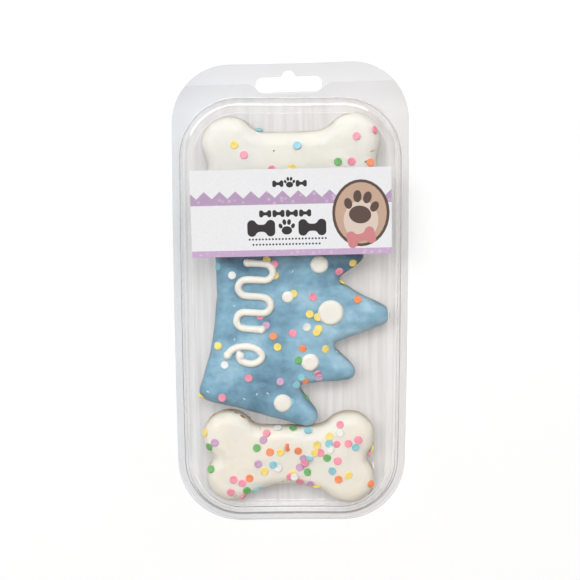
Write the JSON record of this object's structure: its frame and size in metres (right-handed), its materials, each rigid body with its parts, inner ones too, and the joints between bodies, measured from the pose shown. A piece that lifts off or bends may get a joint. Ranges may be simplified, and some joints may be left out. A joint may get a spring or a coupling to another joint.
{
  "type": "dog treat pack",
  "caption": "Shut clear clamshell pack with a hang slot, a paper label on its front, and iced dog biscuits inside: bones and a crown.",
  "frame": {"origin": "on the surface that the pack lies on, under the middle of its outer box", "axes": "+X across the pack, +Y up the pack towards the hang slot, +Z out of the front, through the label"},
  "size_m": [0.1166, 0.2332, 0.0229],
  "materials": {
    "clear_plastic": "clear glossy thermoformed sheet",
    "cream_icing": "smooth satin icing",
    "blue_icing": "smooth satin icing",
    "paper_label": "smooth printed paper"
  },
  "bodies": {
    "root": {"shell_back": "clear_plastic", "shell_front": "clear_plastic", "bone_top": "cream_icing", "crown": "blue_icing", "bone_bottom": "cream_icing", "label": "paper_label"}
  },
  "joints": []
}
